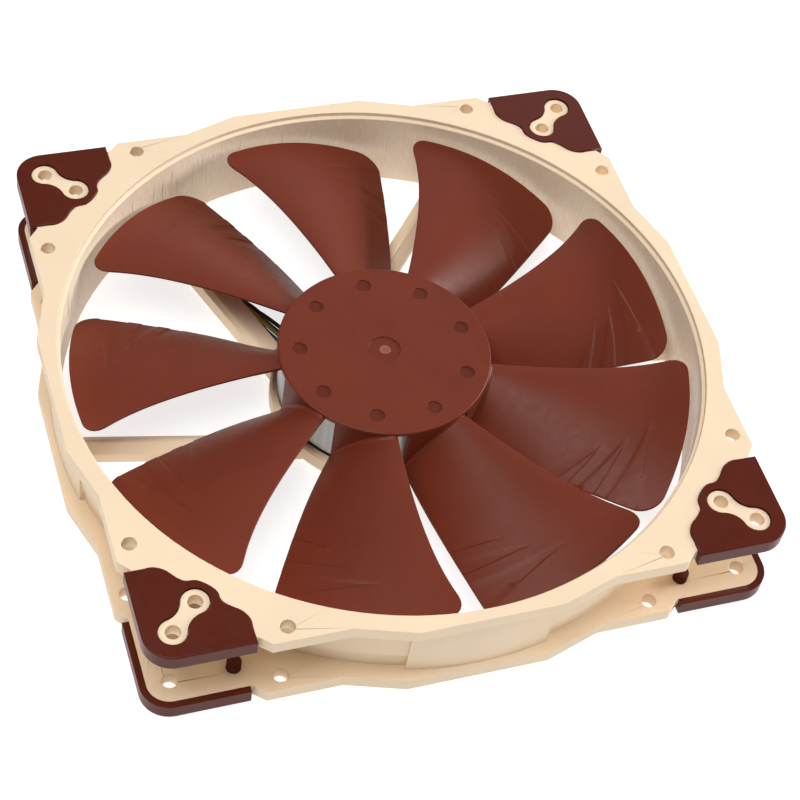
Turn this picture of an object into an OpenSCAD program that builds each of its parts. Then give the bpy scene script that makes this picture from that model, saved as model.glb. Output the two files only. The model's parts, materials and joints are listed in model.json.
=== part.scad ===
// Case fan, 200 mm square and 30 mm deep: frame with motor mount, nine-blade impeller,
// outer-rotor motor, anti-vibration pads and sleeved lead.
// Millimetres. Origin on the spin axis, at the exhaust face that it lies on. +Z is the intake side.

/* [Frame] */
// Spacing of the inner corner holes, which sets the size of the frame
mount_spacing = 154; // [146:1:190]
// Depth of the fan over its pads
frame_h = 30; // [25:0.5:38]
// Thickness of each flange
flange_t = 4.4; // [3:0.2:5.4]
// Diameter of every mounting hole
hole_d = 4.3; // [3.4:0.1:5.2]
// Distance from the duct's bore to the centre of an inner corner hole
corner_land = 13.4; // [12:0.1:16]
// Offset of the outer corner hole from the inner one, along each side
outer_hole_step = 8; // [7:0.5:10]
// Distance from the outer corner hole to the pad's outer faces
corner_margin = 8.5; // [7:0.5:10]
// Wall of the duct at its raised panels
duct_wall = 3; // [2.6:0.1:4]
// How far the flanges stand out past the raised panels
flange_lip = 1.5; // [0.5:0.1:3]

/* [Struts] */
// Number of struts that carry the motor
strut_count = 6; // [6:1:7]
// Width of a plain strut
strut_w = 6.8; // [4:0.2:8.2]
// Height of every strut
strut_h = 5.9; // [5:0.1:6.2]
// Sideways distance of a strut's centre line from the spin axis
strut_offset = 18.5; // [12:0.5:20]
// Width of the strut that carries the wires
channel_strut_w = 8; // [7:0.2:10]

/* [Impeller] */
// Number of blades
blade_count = 9; // [5:1:9]
// Gap between the blade tips and the duct
tip_gap = 2.5; // [1.5:0.1:5]
// Thickness of a blade at its edges
blade_edge_t = 0.9; // [0.7:0.1:1.4]
// Thickness of a blade in its middle at the hub
blade_body_t = 2.3; // [1.6:0.1:3]
// Depth of the hub's face below the frame's intake face
hub_inset = 4; // [2:0.5:6]
// Thickness of the hub's disc
hub_t = 1.3; // [1:0.1:2]

/* [Motor] */
// Diameter of the steel rotor can
can_d = 62; // [52:0.1:75]
// Wall of the rotor can
can_wall = 0.8; // [0.6:0.1:1.2]
// Diameter of the shaft
shaft_d = 3; // [2:0.1:3.6]
// Outer diameter of the bearing sleeve
sleeve_d = 7; // [5.8:0.1:8.4]
// Radial clearance between shaft and bearing sleeve
running_gap = 0.02; // [0.01:0.01:0.08]
// Wall of the bearing tube
tube_wall = 1; // [0.8:0.1:1.4]
// Thickness of the magnet ring
magnet_t = 2.4; // [1.6:0.1:3]
// Air gap between the stator poles and the magnet ring
air_gap = 0.6; // [0.4:0.1:1]
// Height of the stator's steel stack
stack_h = 6; // [4.8:0.2:7.2]

/* [Pads] */
// Thickness of a pad's face plate
pad_t = 2; // [1.6:0.1:2.6]
// How far a pad stands proud of the flange
pad_proud = 0.5; // [0.4:0.1:0.8]
// Thickness of the rim that wraps the flange's edge
pad_rim = 2; // [1.5:0.1:2.6]
// Diameter of the studs that hold a pad
stud_d = 4.2; // [3.4:0.1:5]

/* [Lead] */
// Diameter of one lead wire
wire_d = 1.3; // [1:0.1:1.4]
// Diameter of the sleeved cable
cable_d = 3.4; // [3:0.1:3.8]

/* [Hidden] */
$fn = 96;
overlap = 0.01;

// Front left, front right, back right, back left
CORNERS = [[-1, -1], [1, -1], [1, 1], [-1, 1]];

// Heights of the frame
z_exhaust = pad_proud;
z_intake = frame_h - pad_proud;
pad_sink = pad_t - pad_proud;

// Plan of the frame
hole_in = mount_spacing / 2;
hole_out = hole_in + outer_hole_step;
side_hole = [hole_in + 13, hole_in - 22];
bore_r = hole_in * sqrt(2) - corner_land;
panel_r = bore_r + duct_wall;
belly = panel_r + flange_lip;
pad_face = hole_out + corner_margin;
block_face = pad_face - pad_rim;
side_face = side_hole[0] + 4.6;
pad_end = hole_in - 13;
block_corner_r = 6.5;
pad_corner_r = block_corner_r + pad_rim;
panel_half_angle = 12.3;
slit = 0.25;

// Duct lip on the intake side: a small step, then a ledge that slopes to the bore
lip_r = bore_r + 2.3;
lip_step = 0.6;
lip_depth = 1.9;

// Pads: studs, and the bare islands round the corner holes
stud_at = [hole_in - 10, hole_in + 7.7];
stud_reach = 3;
lobe_r = 3.95;
waist_w = 4.6;
// A pad's S-shaped inner edge, which swells round the inner hole, from the pad's end
PAD_EDGE = [[0, 24], [0, 21.5], [1.5, 18.6], [4.3, 16.3], [6.1, 14.2], [6.5, 11.2], [8.5, 8.5],
    [11.2, 6.5], [14.2, 6.1], [16.3, 4.3], [18.6, 1.5], [21.5, 0], [24, 0]];

// Rotor
can_r = can_d / 2;
hub_r = can_r + 0.5;
z_hub = z_intake - hub_inset;
z_can_top = z_hub - hub_t;
z_base_top = z_exhaust + 6.3;
rotor_gap = 1.4;
z_can = z_base_top + rotor_gap;
tip_r = bore_r - tip_gap;
skirt_t = 0.9;
eject_ring = hub_r - 6;
eject_count = 9;
eject_d = 4.6;
gate_recess_r = 4.8;
gate_r = 1.5;

// Wire channel under one strut
channel_shift = 1;
channel_wall = 1.4;
channel_ridge = 1.8;
strut_roof = 2.4;
channel_h = 4.2;
channel_roof = 0.7;
channel_start = 49;
channel_mouth = 14;
channel_angle = 109;

// Motor base
base_r = can_r + 2;
base_rim = 2.2;
base_floor = 2;
z_floor = z_exhaust + base_floor;
label_r = base_r - 4;
label_t = 0.2;
label_sink = 0.4;
window_angle = 128;
window_w = 4 * wire_d + 1.2;
window_h = wire_d + 0.8;

// Bearing, from the base's floor up
tube_r = sleeve_d / 2 + tube_wall;
socket_wall = 2;
socket_h = 3.2;
thrust_t = 0.8;
clip_t = 0.5;
clip_gap = 0.6;
end_play = 0.05;
z_shaft = z_floor + thrust_t + end_play;
z_clip = z_shaft + 0.9;
z_sleeve = z_clip + clip_t + clip_gap;
bush_r = 4;
bush_h = 3;
bush_flange_t = 0.8;
z_bush = z_can_top - can_wall - bush_flange_t;
seal_t = 0.8;
z_tube_top = z_bush - 1.2;
z_seal = z_tube_top - seal_t;
sleeve_h = z_seal - z_sleeve;

// Magnet and stator
magnet_r = can_r - can_wall;
magnet_clear = 0.6;
magnet_h = z_can_top - can_wall - magnet_clear - z_can;
stator_r = magnet_r - magnet_t - air_gap;
stator_hub_r = tube_r + 4;
pole_count = 4;
pole_w = 7;
pole_tip_t = 2.2;
pole_tip_half = 38;
insulator_t = 0.8;
coil_t = 2.6;
z_stack = z_floor + socket_h + 5.2;
coil_in = stator_hub_r + 0.8;
coil_out = stator_r - pole_tip_t - 0.8;

// Circuit board, on the rim of the bearing socket and three posts
board_t = 1.2;
board_r = base_r - base_rim - 0.6;
z_board = z_floor + socket_h - board_t;
post_count = 3;
post_angle = 30;
post_r = 1.6;
z_parts = z_board + board_t;
pin_d = 0.9;
pin_ring = stator_hub_r - 0.9;

// Blades: angles from the blade's own axis, along u = 0 at the hub to 1 at the tip
blade_phase = 168;
lead_angle = 12.1;
lead_sweep = 5.3;
lead_hook = 2.7;
trail_angle = -21.9;
trail_sweep = 10.3;
trail_bow = -2.8;
lead_z = z_intake - 5.2;
lead_fall = 0.9;
trail_z = z_can + 0.2;
trail_rise = 7.6;
trail_dip = -3.6;
camber_hub = 4.2;
camber_tip = 3.2;
lead_round = 6;
trail_round = 7;
blade_tip_t = 1.5;
blade_root_r = can_r + 0.2;
blade_rings = 9;
tip_rings = 5;
chord_steps = 8;

// Lead: the wires' and the cable's routes, chosen by hand
WIRE_ROUTE = [[-12.3, 15.8, 3.84], [-14.8, 18.9, 3.5], [-17.2, 22.1, 3.3], [-19.7, 25.2, 3.3],
    [-21.5, 27.6, 3.2], [-23.4, 31.1, 2.9], [-25.6, 35.6, 2.6], [-27.3, 39.3, 2.4],
    [-29.4, 42.8, 2.4], [-32.3, 46, 2.4], [-35.5, 49.1, 2.4], [-38.2, 52.4, 2.4],
    [-39.9, 56.1, 2.4], [-41.2, 59.8, 2.4], [-43.6, 67.4, 2.4]];
CABLE_ROUTE = [[-43.6, 67.4, 2.4], [-45.4, 73, 2.4], [-47.2, 78, 2.4], [-48.5, 83, 2.4], [-48.6, 88, 2.4],
    [-47.8, 93, 2.3], [-45.9, 97.4, 2.1], [-43, 101, 1.9], [-39.8, 104.2, 1.8], [-37.4, 107.6, 1.8]];
// The wires lie in a row at the base and turn into a bundle of two by two before the strut
wire_pitch = wire_d + 0.12;
bundled_from = 0.28;
bundled_at = 0.5;
hank_mid = [-12, 110.4];
hank_len = 50;
hank_w = 17.4;
hank_h = 2 * cable_d + 0.4;
tie_w = 3;
tie_t = 0.8;
shrink_len = 7;
shrink_t = 0.35;
plug_size = [12, 10.4, 5.8];
plug_gap_x = 7;
pin_pitch = 2.54;
plug_x = hank_mid[0] + hank_len / 2 + plug_gap_x;
hank_bite = 0.6;

// ---------- shared functions ----------

function unit(v) = v / norm(v);
function polar(r, a, z) = [r * cos(a), r * sin(a), z];
function arc(c, r, a0, a1, n) = [for (i = [0:n]) let (a = a0 + (a1 - a0) * i / n) c + r * [cos(a), sin(a)]];

// Point of a Catmull-Rom curve between b and c
function curve_at(a, b, c, d, t) = 0.5 * ((2 * b) + (c - a) * t + (2 * a - 5 * b + 4 * c - d) * t * t
    + (3 * b - a - 3 * c + d) * t * t * t);
function smooth(p, n) = let (last = len(p) - 1)
    concat([for (i = [0:last - 1]) for (k = [0:n - 1])
        curve_at(p[max(i - 1, 0)], p[i], p[i + 1], p[min(i + 2, last)], k / n)], [p[last]]);

function heading(p, i) = unit(p[min(i + 1, len(p) - 1)] - p[max(i - 1, 0)]);
function side_of(t) = unit(cross(t, [0, 0, 1]));

// Triangles that join the rings of a tube and close its two ends
function tube_faces(rings, sides) = concat(
    [for (i = [0:rings - 2]) for (j = [0:sides - 1])
        [i * sides + j, i * sides + (j + 1) % sides, (i + 1) * sides + j]],
    [for (i = [0:rings - 2]) for (j = [0:sides - 1])
        [i * sides + (j + 1) % sides, (i + 1) * sides + (j + 1) % sides, (i + 1) * sides + j]],
    [[for (j = [sides - 1:-1:0]) j], [for (j = [0:sides - 1]) (rings - 1) * sides + j]]);

module tube_along(p, d, sides = 8) {
    points = [for (i = [0:len(p) - 1]) let (t = heading(p, i), s = side_of(t), up = cross(s, t))
        for (j = [0:sides - 1]) p[i] + d / 2 * (s * cos(360 * j / sides) + up * sin(360 * j / sides))];
    polyhedron(points, tube_faces(len(p), sides));
}

// ---------- frame ----------

module ring(r_out, r_in, z0, h) {
    translate([0, 0, z0]) difference() {
        cylinder(r = r_out, h = h);
        translate([0, 0, -1]) cylinder(r = r_in, h = h + 2);
    }
}

// One side of the flange: belly, slopes, straight lands and the chamfers beside the pads
function flange_side() = [[side_face - 3.1, -pad_end + 0.5], [side_face, -pad_end + 4], [side_face, -38],
    [belly, -21], [belly, 21], [side_face, 38], [side_face, pad_end - 4], [side_face - 3.1, pad_end - 0.5]];

function turned(p, a) = [for (q = p) [q[0] * cos(a) - q[1] * sin(a), q[0] * sin(a) + q[1] * cos(a)]];

module flange_plan() {
    polygon([for (k = [0:3]) for (q = turned(flange_side(), 90 * k)) q]);
    start = pad_end - 6;
    long = block_face - start;
    short = long - block_corner_r;
    for (c = CORNERS) scale([c[0], c[1]]) {
        translate([start, start]) square([long, short]);
        translate([start, start]) square([short, long]);
        translate([block_face - block_corner_r, block_face - block_corner_r]) circle(block_corner_r);
    }
}

// The bare island round the two corner holes: two lobes joined by a waist with hollow sides, with a margin
module island_plan(margin) {
    half = outer_hole_step * sqrt(2) / 2;
    bend_r = (half * half + waist_w * waist_w / 4 - lobe_r * lobe_r) / (2 * lobe_r - waist_w);
    share = bend_r / (lobe_r + bend_r);
    translate([(hole_in + hole_out) / 2, (hole_in + hole_out) / 2]) rotate(45) {
        for (side = [-1, 1]) translate([side * half, 0]) circle(lobe_r + margin);
        difference() {
            square([2 * half * share, 2 * (waist_w / 2 + bend_r) * (1 - share) + 2 * margin], center = true);
            for (side = [-1, 1]) translate([0, side * (waist_w / 2 + bend_r)]) circle(bend_r - margin);
        }
    }
}

// A pad's plan before its opening is cut
module pad_outline() {
    c = pad_face - pad_corner_r;
    polygon(concat([[pad_end, pad_face]], [for (q = smooth(PAD_EDGE, 3)) [pad_end + q[0], pad_end + q[1]]],
        [[pad_face, pad_end]], arc([c, c], pad_corner_r, 0, 90, 12)));
}

module mount_holes() {
    for (c = CORNERS) scale([c[0], c[1], 1]) {
        for (p = [[hole_in, hole_in], [hole_out, hole_out], side_hole, [side_hole[1], side_hole[0]]])
            translate([p[0], p[1], -1]) cylinder(d = hole_d, h = frame_h + 2, $fn = 48);
        for (p = [stud_at, [stud_at[1], stud_at[0]]])
            translate([p[0], p[1], -1]) cylinder(d = stud_d, h = frame_h + 2, $fn = 48);
    }
}

module flange(z0, pocket_z) {
    difference() {
        translate([0, 0, z0]) linear_extrude(flange_t) difference() {
            flange_plan();
            circle(bore_r + 1);
        }
        for (c = CORNERS) scale([c[0], c[1], 1]) translate([0, 0, pocket_z]) linear_extrude(pad_t)
            difference() {
                pad_outline();
                island_plan(0);
            }
    }
}

// The duct's wall: lip on the intake side, and an outside that steps in towards the exhaust side
module duct() {
    low_step = z_exhaust + flange_t + 5.6;
    high_step = z_intake - flange_t - 3.8;
    rotate_extrude($fn = 180) polygon([[bore_r, z_exhaust + 0.8], [bore_r + 0.8, z_exhaust],
        [bore_r + 1.4, z_exhaust], [bore_r + 1.4, low_step], [bore_r + 2.1, low_step],
        [bore_r + 2.1, high_step], [bore_r + 2.7, high_step], [bore_r + 2.7, z_intake],
        [lip_r, z_intake], [lip_r, z_intake - lip_step],
        [bore_r, z_intake - lip_depth]]);
    for (k = [0:3]) rotate(90 * k - panel_half_angle) rotate_extrude(angle = 2 * panel_half_angle, $fn = 180)
        translate([bore_r + 1, z_exhaust + flange_t - overlap])
            square([duct_wall - 1, z_intake - z_exhaust - 2 * flange_t + 2 * overlap]);
}

// A strut in its own frame: along +X, with a roof-shaped top
module strut_bar(w, ridge, side_h, length) {
    rotate([90, 0, 90]) linear_extrude(length) polygon([[-w / 2, 0], [w / 2, 0], [w / 2, side_h],
        [ridge + 0.5, strut_h], [ridge - 0.5, strut_h], [-w / 2, side_h]]);
}

module at_strut(k, shift = 0) {
    rotate(channel_angle + 360 / strut_count * k) translate([0, strut_offset + shift, z_exhaust]) children();
}

// Every strut, cut off inside the base's edge and inside the duct's wall
module struts() intersection() {
    length = bore_r + 2;
    union() {
        at_strut(0, channel_shift)
            strut_bar(channel_strut_w, channel_ridge, channel_h + channel_roof, length);
        for (k = [1:strut_count - 1]) at_strut(k) strut_bar(strut_w, 0, strut_h - strut_roof, length);
    }
    ring(bore_r + 0.6, base_r - 1, 0, frame_h);
}

// The channel under one strut, with its mouth near the base
module wire_channel() at_strut(0, channel_shift) {
    translate([channel_start, -channel_strut_w / 2 + channel_wall, -1])
        cube([bore_r, channel_strut_w - 2 * channel_wall, channel_h + 1]);
    translate([channel_start, -channel_strut_w / 2 - 1, -1])
        cube([channel_mouth, channel_wall + 2, channel_h + 1]);
}

// The cable's way through the duct's wall, and its notch in the exhaust flange
module cable_notch() {
    linear_extrude(z_exhaust + channel_h - 0.1) polygon([[-50.4, 78], [-50.9, 87], [-46.3, 87], [-45, 78]]);
    linear_extrude(z_exhaust + flange_t + 0.3) polygon([[-50.9, 86.6], [-49.6, 96], [-47, 104], [-40.8, 104],
        [-45.2, 96], [-46.3, 86.6]]);
}

module base() {
    post_foot = z_floor - overlap;
    post_h = z_board - post_foot;
    difference() {
        union() {
            rotate_extrude() polygon([[0, z_exhaust], [base_r - 0.6, z_exhaust], [base_r, z_exhaust + 0.6],
                [base_r, z_base_top - 0.8], [base_r - 0.8, z_base_top], [base_r - base_rim, z_base_top],
                [base_r - base_rim, z_floor], [0, z_floor]]);
            translate([0, 0, post_foot]) cylinder(r = tube_r + socket_wall, h = post_h);
            for (k = [0:post_count - 1]) rotate(post_angle + 360 / post_count * k)
                translate([board_r - 2.4, 0, post_foot]) cylinder(r = post_r, h = post_h, $fn = 32);
        }
        translate([0, 0, z_floor]) cylinder(r = tube_r, h = frame_h);
        translate([0, 0, z_exhaust - 1]) cylinder(r = label_r, h = 1 + label_sink);
        rotate(window_angle) translate([base_r - base_rim - 4, -window_w / 2, z_floor])
            cube([12, window_w, window_h]);
    }
}

module frame() color("#dcc3a1") {
    difference() {
        union() {
            flange(z_intake - flange_t, z_intake - pad_sink);
            flange(z_exhaust, z_exhaust + pad_sink - pad_t);
            duct();
            struts();
        }
        mount_holes();
        wire_channel();
        cable_notch();
    }
    base();
}

// ---------- pads ----------

// A pad on the intake side, at the corner in +X +Y
module pad_shape() {
    translate([0, 0, z_intake - pad_sink]) linear_extrude(pad_t) difference() {
        pad_outline();
        island_plan(slit);
    }
    inner = block_face - block_corner_r;
    outer = pad_face - pad_corner_r;
    translate([0, 0, z_intake - flange_t]) linear_extrude(flange_t - pad_sink + overlap)
        polygon(concat([[pad_end, block_face], [pad_end, pad_face]],
            arc([outer, outer], pad_corner_r, 90, 0, 12),
            [[pad_face, pad_end], [block_face, pad_end]],
            arc([inner, inner], block_corner_r, 0, 90, 12)));
    for (p = [stud_at, [stud_at[1], stud_at[0]]])
        translate([p[0], p[1], z_intake - flange_t - stud_reach])
            cylinder(d = stud_d, h = flange_t + stud_reach - pad_sink + overlap, $fn = 48);
}

module intake_pad(k) color("#4a2317") scale([CORNERS[k][0], CORNERS[k][1], 1]) pad_shape();

module exhaust_pad(k) color("#4a2317")
    translate([0, 0, frame_h]) scale([CORNERS[k][0], CORNERS[k][1], -1]) pad_shape();

// ---------- impeller ----------

function blade_u(r) = (r - hub_r) / (tip_r - hub_r);
function lead_at(r) = let (u = blade_u(r)) lead_angle + lead_sweep * u + lead_hook * pow(max(u, 0), 4);
function trail_at(r) = let (u = blade_u(r)) trail_angle + trail_sweep * u + trail_bow * u * u;
function corner_cut(r, c) = let (d = max(r - (tip_r - c), 0))
    (c - sqrt(max(c * c - d * d, 0))) / r * 180 / PI;
function lead_z_at(r) = lead_z - lead_fall * blade_u(r);
function trail_z_at(r) = let (u = blade_u(r)) trail_z + trail_rise * u + trail_dip * u * u;

// Angle and height of the blade's upper face at radius r, for s = 0 on the leading to 1 on the trailing edge
function blade_angle(r, s) =
    let (a = lead_at(r) - corner_cut(r, lead_round), b = trail_at(r) + corner_cut(r, trail_round))
    a + (b - a) * s;
function camber_at(r) = camber_hub + (camber_tip - camber_hub) * blade_u(r);
function blade_z(r, angle) = let (s = (lead_at(r) - angle) / (lead_at(r) - trail_at(r)))
    lead_z_at(r) + (trail_z_at(r) - lead_z_at(r)) * s + camber_at(r) * 4 * s * (1 - s);
function blade_t(r, s) = let (body = blade_body_t + (blade_tip_t - blade_body_t) * blade_u(r))
    blade_edge_t + (body - blade_edge_t) * sqrt(max(4 * s * (1 - s), 0));

function blade_radii() = concat(
    [for (i = [0:blade_rings]) blade_root_r + (tip_r - trail_round - blade_root_r) * i / blade_rings],
    [for (j = [1:tip_rings]) tip_r - trail_round + trail_round * sin(90 * j / tip_rings)]);

module blade() {
    radii = blade_radii();
    n = chord_steps;
    m = 2 * (n + 1);
    points = [for (r = radii) for (k = [0:m - 1])
        let (s = (k <= n ? k : m - 1 - k) / n, a = blade_angle(r, s))
        polar(r, a, blade_z(r, a) - (k <= n ? 0 : blade_t(r, s)))];
    last = (len(radii) - 1) * m;
    faces = concat(
        [for (i = [0:len(radii) - 2]) for (k = [0:m - 1]) [i * m + k, (i + 1) * m + k, i * m + (k + 1) % m]],
        [for (i = [0:len(radii) - 2]) for (k = [0:m - 1])
            [i * m + (k + 1) % m, (i + 1) * m + k, (i + 1) * m + (k + 1) % m]],
        [for (k = [0:n - 1]) [k, k + 1, m - 1 - k]],
        [for (k = [0:n - 1]) [k + 1, m - 2 - k, m - 1 - k]],
        [for (k = [0:n - 1]) [last + k, last + m - 1 - k, last + k + 1]],
        [for (k = [0:n - 1]) [last + k + 1, last + m - 1 - k, last + m - 2 - k]]);
    polyhedron(points, faces);
}

// The wall between a blade's root and the hub's disc
module root_wall() {
    n = chord_steps;
    r_in = can_r + 0.05;
    r_out = can_r + skirt_t;
    top = z_can_top + 0.4;
    cols = [for (k = [0:n]) let (a = blade_angle(hub_r, 0.06 + 0.94 * k / n))
        [a, min(blade_z(hub_r, a) - 0.4, top - 0.5)]];
    points = [for (c = cols) each [polar(r_in, c[0], c[1]), polar(r_out, c[0], c[1]),
        polar(r_out, c[0], top), polar(r_in, c[0], top)]];
    faces = concat(
        [for (i = [0:n - 1]) for (j = [0:3]) [4 * i + j, 4 * (i + 1) + j, 4 * i + (j + 1) % 4]],
        [for (i = [0:n - 1]) for (j = [0:3])
            [4 * i + (j + 1) % 4, 4 * (i + 1) + j, 4 * (i + 1) + (j + 1) % 4]],
        [[0, 1, 2, 3], [4 * n + 3, 4 * n + 2, 4 * n + 1, 4 * n]]);
    polyhedron(points, faces);
}

module hub_disc() {
    difference() {
        rotate_extrude() polygon([[0, z_can_top], [hub_r + 0.6, z_can_top], [hub_r + 0.6, z_hub - 0.5],
            [hub_r + 0.1, z_hub], [0, z_hub]]);
        for (k = [0:eject_count - 1]) rotate(360 / eject_count * k + 8)
            translate([eject_ring, 0, z_hub - 0.3]) cylinder(d = eject_d, h = 1, $fn = 48);
        translate([0, 0, z_hub - 0.35]) cylinder(r = gate_recess_r, h = 1);
    }
    translate([0, 0, z_hub - 0.6]) cylinder(r = gate_r, h = 0.4, $fn = 32);
}

module impeller() color("#6b3324") {
    hub_disc();
    for (k = [0:blade_count - 1]) rotate(blade_phase + 360 / blade_count * k) {
        blade();
        root_wall();
    }
}

// ---------- rotor ----------

module rotor_can() color("#b9b6b2") difference() {
    rotate_extrude() polygon([[bush_r, z_can_top - can_wall], [magnet_r, z_can_top - can_wall],
        [magnet_r, z_can], [can_r, z_can], [can_r, z_can_top - 0.7], [can_r - 0.7, z_can_top],
        [bush_r, z_can_top]]);
}

module magnet_ring() color("#4b4a4c") ring(magnet_r, magnet_r - magnet_t, z_can, magnet_h);

module shaft() color("#cfd1d3") {
    difference() {
        translate([0, 0, z_shaft]) cylinder(d = shaft_d, h = z_can_top - z_shaft, $fn = 48);
        translate([0, 0, z_clip]) difference() {
            cylinder(d = shaft_d + 2, h = clip_t, $fn = 48);
            translate([0, 0, -1]) cylinder(d = shaft_d - 0.8, h = clip_t + 2, $fn = 48);
        }
    }
}

module shaft_bush() color("#c9a24f") difference() {
    union() {
        translate([0, 0, z_bush]) cylinder(r = bush_r + 1.6, h = bush_flange_t);
        translate([0, 0, z_bush]) cylinder(r = bush_r, h = z_can_top - z_bush);
    }
    translate([0, 0, z_bush - 1]) cylinder(d = shaft_d, h = bush_h + 4, $fn = 48);
}

module shaft_clip() color("#8d9094") difference() {
    ring(shaft_d / 2 + 1, shaft_d / 2 - 0.4, z_clip, clip_t);
    translate([0, -0.5, z_clip - 1]) cube([shaft_d, 1, clip_t + 2]);
}

// ---------- bearing ----------

module bearing_tube() color("#c9a24f") difference() {
    translate([0, 0, z_floor]) cylinder(r = tube_r, h = z_tube_top - z_floor);
    translate([0, 0, z_floor - 1]) cylinder(r = tube_r - tube_wall, h = frame_h);
}

module bearing_sleeve() color("#a8794f") ring(sleeve_d / 2, shaft_d / 2 + running_gap, z_sleeve, sleeve_h);

module oil_seal() color("#ece8df") ring(sleeve_d / 2, shaft_d / 2 + 0.3, z_seal, seal_t);

module thrust_disc() color("#e3e0d4") translate([0, 0, z_floor]) cylinder(r = sleeve_d / 2, h = thrust_t);

// ---------- stator ----------

module pole_plan(body_w, tip) {
    circle(stator_hub_r);
    for (k = [0:pole_count - 1]) rotate(360 / pole_count * k) {
        translate([0, -body_w / 2]) square([stator_r - 1, body_w]);
        if (tip) intersection() {
            difference() {
                circle(stator_r);
                circle(stator_r - pole_tip_t);
            }
            polygon([[0, 0], 40 * [cos(pole_tip_half), -sin(pole_tip_half)], [60, 0],
                40 * [cos(pole_tip_half), sin(pole_tip_half)]]);
        }
    }
}

module stator_core() color("#8f9296") translate([0, 0, z_stack]) linear_extrude(stack_h) difference() {
    pole_plan(pole_w, true);
    circle(tube_r);
}

module insulator(z0) {
    translate([0, 0, z0]) linear_extrude(insulator_t) difference() {
        intersection() {
            pole_plan(pole_w, true);
            circle(stator_r - 0.3);
        }
        circle(tube_r);
    }
}

module insulator_upper() color("#efe9dc") insulator(z_stack + stack_h);

module insulator_lower() color("#efe9dc") insulator(z_stack - insulator_t);

// The winding round one pole, over both insulators
module coil(k) color("#b4622f") rotate(360 / pole_count * k) difference() {
    z0 = z_stack - insulator_t;
    core_h = stack_h + 2 * insulator_t;
    length = coil_out - coil_in;
    translate([coil_in, -pole_w / 2 - coil_t, z0 - coil_t])
        cube([length, pole_w + 2 * coil_t, core_h + 2 * coil_t]);
    translate([coil_in - 1, -pole_w / 2, z0]) cube([length + 2, pole_w, core_h]);
}

// ---------- electronics ----------

module circuit_board() color("#2f5a3a") difference() {
    translate([0, 0, z_board]) cylinder(r = board_r, h = board_t);
    translate([0, 0, z_board - 1]) cylinder(r = tube_r, h = board_t + 2);
    for (k = [0:3]) rotate(45 + 90 * k) translate([pin_ring, 0, z_board - 1])
        cylinder(d = pin_d, h = board_t + 2, $fn = 24);
}

module driver_chip() color("#1d1d1f") rotate(-60) translate([15, -2.5, z_parts]) cube([4, 5, 1]);

module hall_sensor() color("#1d1d1f")
    rotate(20) translate([magnet_r - magnet_t, -1.5, z_parts]) cube([1.4, 3, 1]);

module capacitors() color("#b08d57")
    for (a = [170, 200, 230]) rotate(a) translate([19, -0.8, z_parts]) cube([2, 1.6, 0.9]);

module resistors() color("#26272b")
    for (a = [-100, -85, 60, 75]) rotate(a) translate([20, -0.6, z_parts]) cube([1.6, 1.2, 0.5]);

// Four winding pins, from the lower insulator through the board
module solder_pins() color("#c8c9cb") for (k = [0:3]) rotate(45 + 90 * k)
    translate([pin_ring, 0, z_board]) cylinder(d = pin_d, h = z_stack - insulator_t - z_board, $fn = 24);

module rear_label() color("#e9e4d8")
    translate([0, 0, z_exhaust + label_sink - label_t]) cylinder(r = label_r - 0.3, h = label_t);

// ---------- lead ----------

function bundled(f) = min(max((f - bundled_from) / (bundled_at - bundled_from), 0), 1);

// Sideways and upward place of a wire: b is 0 in the row and 1 in the bundle. A pair turns about its middle
function wire_spot(k, b) = wire_pitch * ([k < 2 ? 1 : -1, 0] * (1 - b * b / 2)
    + [cos(90 * b), sin(90 * b)] * (k % 2 == 0 ? 0.5 : -0.5));

function wire_path(k) = let (mid = smooth(WIRE_ROUTE, 3))
    [for (i = [0:len(mid) - 1]) let (spot = wire_spot(k, bundled(i / (len(mid) - 1))))
        mid[i] + side_of(heading(mid, i)) * spot[0] + [0, 0, spot[1]]];

module wire(k) tube_along(wire_path(k), wire_d);

module wire_black() color("#17181a") wire(0);

module wire_yellow() color("#d8b23a") wire(2);

module wire_green() color("#2f7a4d") wire(1);

module wire_blue() color("#2c5fa5") wire(3);

module cable_sleeve() color("#1a1a1c") tube_along(smooth(CABLE_ROUTE, 2), cable_d);

// Shrink tube over the cut end of the sleeve, round the four wires
module shrink_tube_fan_end() color("#101012") {
    mouth = CABLE_ROUTE[0];
    way = CABLE_ROUTE[1] - mouth;
    translate(mouth) rotate([0, 90, atan2(way[1], way[0])]) difference() {
        translate([0, 0, 0.2]) cylinder(d = cable_d + 2 * shrink_t, h = shrink_len - 2, $fn = 32);
        cylinder(d = cable_d + 0.04, h = shrink_len, $fn = 32);
    }
}

module stadium(len, w) {
    translate([-(len - w) / 2, 0]) circle(d = w);
    translate([(len - w) / 2, 0]) circle(d = w);
    square([len - w, w], center = true);
}

module cable_hank() color("#1a1a1c")
    translate([hank_mid[0], hank_mid[1], 0]) linear_extrude(hank_h) stadium(hank_len, hank_w);

module cable_tie() color("#101012") translate([hank_mid[0] - tie_w / 2, hank_mid[1], 0]) difference() {
    translate([0, -hank_w / 2 - tie_t, 0]) cube([tie_w, hank_w + 2 * tie_t, hank_h + tie_t]);
    translate([-1, -hank_w / 2, -1]) cube([tie_w + 2, hank_w, hank_h + 1]);
}

module shrink_tube_plug_end() color("#101012")
    translate([hank_mid[0] + hank_len / 2 - hank_bite, hank_mid[1], plug_size[2] / 2]) rotate([0, 90, 0])
        cylinder(d = cable_d + 2 * shrink_t, h = plug_gap_x + hank_bite, $fn = 32);

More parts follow.
